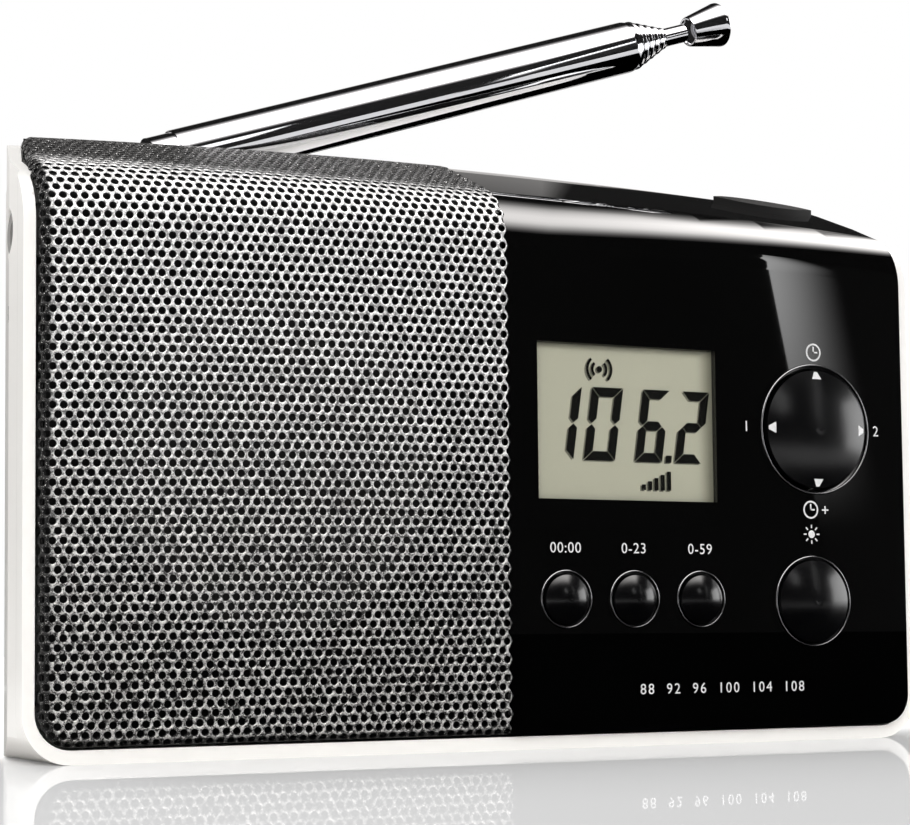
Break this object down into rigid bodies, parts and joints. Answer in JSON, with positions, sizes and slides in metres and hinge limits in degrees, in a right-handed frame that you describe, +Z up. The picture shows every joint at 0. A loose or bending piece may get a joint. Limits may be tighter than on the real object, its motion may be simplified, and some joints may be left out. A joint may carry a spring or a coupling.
{
  "type": "portable radio",
  "caption": "Pocket radio with perforated speaker grille, digital display, round keys, four-way pad, side volume wheel and folding telescopic antenna.",
  "frame": {"origin": "middle of the flat underside, at the level of the surface it stands on", "axes": "+X to the viewer's right along the front, +Y to the back, +Z up"},
  "size_m": [0.1206, 0.0312, 0.1028],
  "materials": {
    "white_shell": "white gloss moulding",
    "gloss_black": "piano black",
    "grille_steel": "perforated sheet, bright",
    "clear_lens": "clear window",
    "lcd_panel": "reflective liquid crystal glass, dark digits",
    "white_plastic": "moulded",
    "dark_rubber": "striped elastomer",
    "bright_ring": "thin bright ring",
    "satin_black": "satin black moulding",
    "board_green": "solder mask",
    "part_black": "moulded",
    "tinned_steel": "tinned",
    "can_aluminium": "printed can",
    "screw_steel": "zinc plated",
    "cone_paper": "treated paper",
    "magnet_iron": "ferrite magnet",
    "cell_wrap": "plain two-tone sleeve",
    "contact_nickel": "nickel plated",
    "ferrite_black": "sintered ferrite",
    "copper_wire": "enamelled wire",
    "antenna_chrome": "mirror chrome"
  },
  "bodies": {
    "case": {"rear_shell": "white_shell", "front_fascia": "gloss_black", "speaker_grille": "grille_steel", "display_lens": "clear_lens", "lcd_glass": "lcd_panel", "lcd_backlight": "white_plastic", "lcd_frame": "white_plastic", "lcd_connector": "dark_rubber", "button_rings": "bright_ring", "dpad_post": "white_plastic", "main_board": "board_green", "key_switches": "part_black", "tuner_can": "tinned_steel", "radio_chip": "part_black", "capacitors": "can_aluminium", "case_screws": "screw_steel", "board_screws": "screw_steel", "speaker_screws": "screw_steel", "speaker_basket": "tinned_steel", "speaker_cone": "cone_paper", "speaker_magnet": "magnet_iron", "headphone_socket": "part_black", "battery_holder": "part_black", "battery_upper": "cell_wrap", "battery_lower": "cell_wrap", "battery_contacts": "contact_nickel", "battery_springs": "contact_nickel", "volume_control": "part_black", "rocker_pin": "screw_steel", "rocker_board": "board_green", "ferrite_rod": "ferrite_black", "aerial_coil": "copper_wire", "aerial_clips": "white_plastic"},
    "set_time_key": {"button_set_time": "satin_black"},
    "hour_key": {"button_hour": "satin_black"},
    "minute_key": {"button_minute": "satin_black"},
    "light_key": {"button_light": "satin_black"},
    "pad": {"dpad_cap": "satin_black"},
    "pad_ring": {"dpad_gimbal": "white_plastic"},
    "door": {"battery_door": "white_shell"},
    "wheel": {"volume_wheel": "satin_black", "volume_shaft": "screw_steel"},
    "rocker": {"tuning_rocker": "gloss_black"},
    "turret": {"antenna_turret": "antenna_chrome", "antenna_pin": "antenna_chrome", "antenna_washer": "screw_steel", "antenna_screw": "screw_steel"},
    "tube_1": {"antenna_lug": "antenna_chrome", "antenna_tube_1": "antenna_chrome"},
    "tube_2": {"antenna_tube_2": "antenna_chrome"},
    "tube_3": {"antenna_tube_3": "antenna_chrome"},
    "tube_4": {"antenna_tube_4": "antenna_chrome"},
    "tube_5": {"antenna_tube_5": "antenna_chrome"},
    "rod": {"antenna_rod": "antenna_chrome", "antenna_tip": "antenna_chrome"}
  },
  "joints": [
    {"name": "set_time_press", "type": "slide", "parent": "case", "child": "set_time_key", "axis": [0, 1, 0], "range_m": [0, 0.0005], "stiffness_N_per_m": 800},
    {"name": "hour_press", "type": "slide", "parent": "case", "child": "hour_key", "axis": [0, 1, 0], "range_m": [0, 0.0005], "stiffness_N_per_m": 800},
    {"name": "minute_press", "type": "slide", "parent": "case", "child": "minute_key", "axis": [0, 1, 0], "range_m": [0, 0.0005], "stiffness_N_per_m": 800},
    {"name": "light_press", "type": "slide", "parent": "case", "child": "light_key", "axis": [0, 1, 0], "range_m": [0, 0.0005], "stiffness_N_per_m": 800},
    {"name": "pad_up_down", "type": "hinge", "parent": "case", "child": "pad_ring", "pos_m": [0.0442, -0.011, 0.0399], "axis": [1, 0, 0], "range_deg": [-3, 3], "stiffness_Nm_per_rad": 0.05},
    {"name": "pad_left_right", "type": "hinge", "parent": "pad_ring", "child": "pad", "pos_m": [0.0442, -0.011, 0.0399], "axis": [0, 0, 1], "range_deg": [-3, 3], "stiffness_Nm_per_rad": 0.05},
    {"name": "tuning_rock", "type": "hinge", "parent": "case", "child": "rocker", "pos_m": [0.0465, -0.0008, 0.068], "axis": [0, 1, 0], "range_deg": [-2.5, 2.5], "stiffness_Nm_per_rad": 0.05},
    {"name": "volume_turn", "type": "hinge", "parent": "case", "child": "wheel", "pos_m": [0.0517, 0.002, 0.044], "axis": [0, 1, 0], "range_deg": [-140, 140]},
    {"name": "door_slide", "type": "slide", "parent": "case", "child": "door", "axis": [0, 0, -1], "range_m": [0, 0.0045]},
    {"name": "antenna_swivel", "type": "hinge", "parent": "case", "child": "turret", "pos_m": [-0.0424, 0.009, 0.0704], "axis": [0, 0, 1], "range_deg": [0, 180]},
    {"name": "antenna_fold", "type": "hinge", "parent": "turret", "child": "tube_1", "pos_m": [-0.0424, 0.009, 0.0704], "axis": [0, -1, 0], "range_deg": [-18.1, 71.9]},
    {"name": "draw_1", "type": "slide", "parent": "tube_1", "child": "tube_2", "axis": [0.9505, 0, 0.3107], "range_m": [0, 0.06]},
    {"name": "draw_2", "type": "slide", "parent": "tube_2", "child": "tube_3", "axis": [0.9505, 0, 0.3107], "range_m": [0, 0.06]},
    {"name": "draw_3", "type": "slide", "parent": "tube_3", "child": "tube_4", "axis": [0.9505, 0, 0.3107], "range_m": [0, 0.06]},
    {"name": "draw_4", "type": "slide", "parent": "tube_4", "child": "tube_5", "axis": [0.9505, 0, 0.3107], "range_m": [0, 0.06]},
    {"name": "draw_5", "type": "slide", "parent": "tube_5", "child": "rod", "axis": [0.9505, 0, 0.3107], "range_m": [0, 0.06]}
  ]
}
